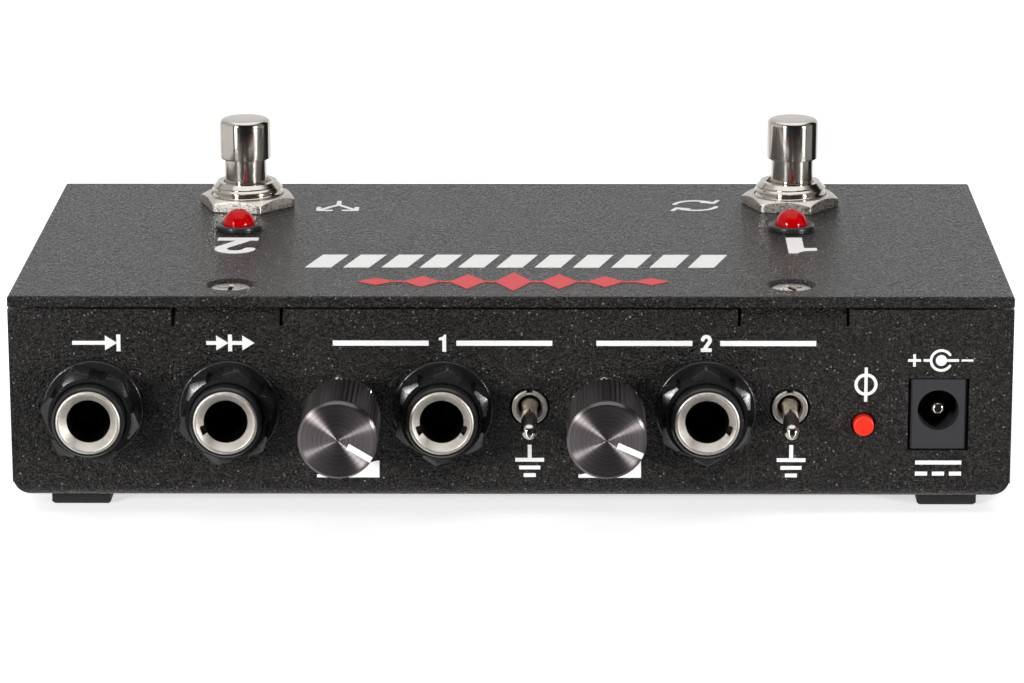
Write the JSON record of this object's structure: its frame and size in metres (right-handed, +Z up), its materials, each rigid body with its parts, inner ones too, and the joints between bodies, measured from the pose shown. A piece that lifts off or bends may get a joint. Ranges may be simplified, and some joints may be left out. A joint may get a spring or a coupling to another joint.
{
  "type": "aby switch pedal",
  "caption": "Flat folded-steel floor box that switches a guitar between two amplifiers, with stomp switches, lamps, jacks, level knobs and lift toggles.",
  "frame": {"origin": "centre of the whole pedal's box at the bottom of its feet", "axes": "+X along the jack panel to the right as seen from the jacks, +Y from the jack panel towards the player, +Z up"},
  "size_m": [0.156, 0.1, 0.0501],
  "materials": {
    "tray_powder_coat": "satin black fine-textured powder coat",
    "cover_powder_coat": "satin black fine-textured powder coat",
    "nickel_screws": "bright nickel plate",
    "zinc_steel": "zinc plate",
    "foot_rubber": "matt moulded rubber",
    "circuit_board": "solder-masked glass epoxy board",
    "jack_nylon": "glossy moulded black nylon",
    "bright_nickel": "polished nickel plate",
    "contact_metal": "tinned spring brass",
    "switch_plastic": "moulded switch plastic",
    "shaft_aluminium": "turned aluminium",
    "satin_nickel": "satin nickel plate",
    "black_anodised": "black anodised, spun face",
    "red_plastic": "moulded red plastic",
    "socket_plastic": "moulded black plastic",
    "lamp_red": "clear red cast lens",
    "transformer_steel": "lacquered iron laminations"
  },
  "bodies": {
    "case": {"base_tray": "tray_powder_coat", "cover": "cover_powder_coat", "cover_clinch_nuts": "zinc_steel", "cover_screws": "nickel_screws", "dc_socket_body": "socket_plastic", "dc_socket_pin": "bright_nickel", "foot_panel_left": "foot_rubber", "foot_panel_right": "foot_rubber", "foot_player_left": "foot_rubber", "foot_player_right": "foot_rubber", "footswitch_1_body": "switch_plastic", "footswitch_1_bushing": "bright_nickel", "footswitch_1_spring": "contact_metal", "footswitch_2_body": "switch_plastic", "footswitch_2_bushing": "bright_nickel", "footswitch_2_spring": "contact_metal", "footswitch_lugs": "contact_metal", "footswitch_nuts": "satin_nickel", "footswitch_washers": "zinc_steel", "jack_contacts": "contact_metal", "jack_input_body": "jack_nylon", "jack_input_ferrule": "bright_nickel", "jack_input_nut": "jack_nylon", "jack_output_1_body": "jack_nylon", "jack_output_1_ferrule": "bright_nickel", "jack_output_1_nut": "jack_nylon", "jack_output_2_body": "jack_nylon", "jack_output_2_ferrule": "bright_nickel", "jack_output_2_nut": "jack_nylon", "jack_thru_body": "jack_nylon", "jack_thru_ferrule": "bright_nickel", "jack_thru_nut": "jack_nylon", "lamp_1": "lamp_red", "lamp_1_bezel": "socket_plastic", "lamp_2": "lamp_red", "lamp_2_bezel": "socket_plastic", "pcb_main": "circuit_board", "pcb_screws": "zinc_steel", "pcb_standoffs": "zinc_steel", "polarity_switch_body": "switch_plastic", "pot_1_body": "switch_plastic", "pot_2_body": "switch_plastic", "pot_nuts": "satin_nickel", "pot_washers": "satin_nickel", "toggle_1_body": "switch_plastic", "toggle_2_body": "switch_plastic", "toggle_bushings": "satin_nickel", "transformer_bobbins": "switch_plastic", "transformer_cores": "transformer_steel"},
    "plunger_1": {"footswitch_1_plunger": "bright_nickel"},
    "plunger_2": {"footswitch_2_plunger": "bright_nickel"},
    "level_1": {"pot_1_shaft": "shaft_aluminium", "knob_1": "black_anodised"},
    "level_2": {"pot_2_shaft": "shaft_aluminium", "knob_2": "black_anodised"},
    "lift_lever_1": {"toggle_1_lever": "bright_nickel"},
    "lift_lever_2": {"toggle_2_lever": "bright_nickel"},
    "polarity": {"polarity_button": "red_plastic"}
  },
  "joints": [
    {"name": "footswitch_1_press", "type": "slide", "parent": "case", "child": "plunger_1", "axis": [0, 0, -1], "range_m": [0, 0.0032], "stiffness_N_per_m": 3500, "springref_m": -0.0028, "deforming": ["footswitch_1_spring"]},
    {"name": "footswitch_2_press", "type": "slide", "parent": "case", "child": "plunger_2", "axis": [0, 0, -1], "range_m": [0, 0.0032], "stiffness_N_per_m": 3500, "springref_m": -0.0028, "deforming": ["footswitch_2_spring"]},
    {"name": "level_1_turn", "type": "hinge", "parent": "case", "child": "level_1", "pos_m": [-0.026, -0.042, 0.0172], "axis": [0, 1, 0], "range_deg": [-271, 29]},
    {"name": "level_2_turn", "type": "hinge", "parent": "case", "child": "level_2", "pos_m": [0.0149, -0.042, 0.0172], "axis": [0, 1, 0], "range_deg": [-264, 36]},
    {"name": "ground_lift_1_flip", "type": "hinge", "parent": "case", "child": "lift_lever_1", "pos_m": [0.003, -0.031, 0.01745], "axis": [1, 0, 0], "range_deg": [-30, 0]},
    {"name": "ground_lift_2_flip", "type": "hinge", "parent": "case", "child": "lift_lever_2", "pos_m": [0.0435, -0.031, 0.01745], "axis": [1, 0, 0], "range_deg": [-30, 0]},
    {"name": "polarity_press", "type": "slide", "parent": "case", "child": "polarity", "axis": [0, 1, 0], "range_m": [0, 0.0012], "stiffness_N_per_m": 900, "springref_m": -0.001}
  ]
}
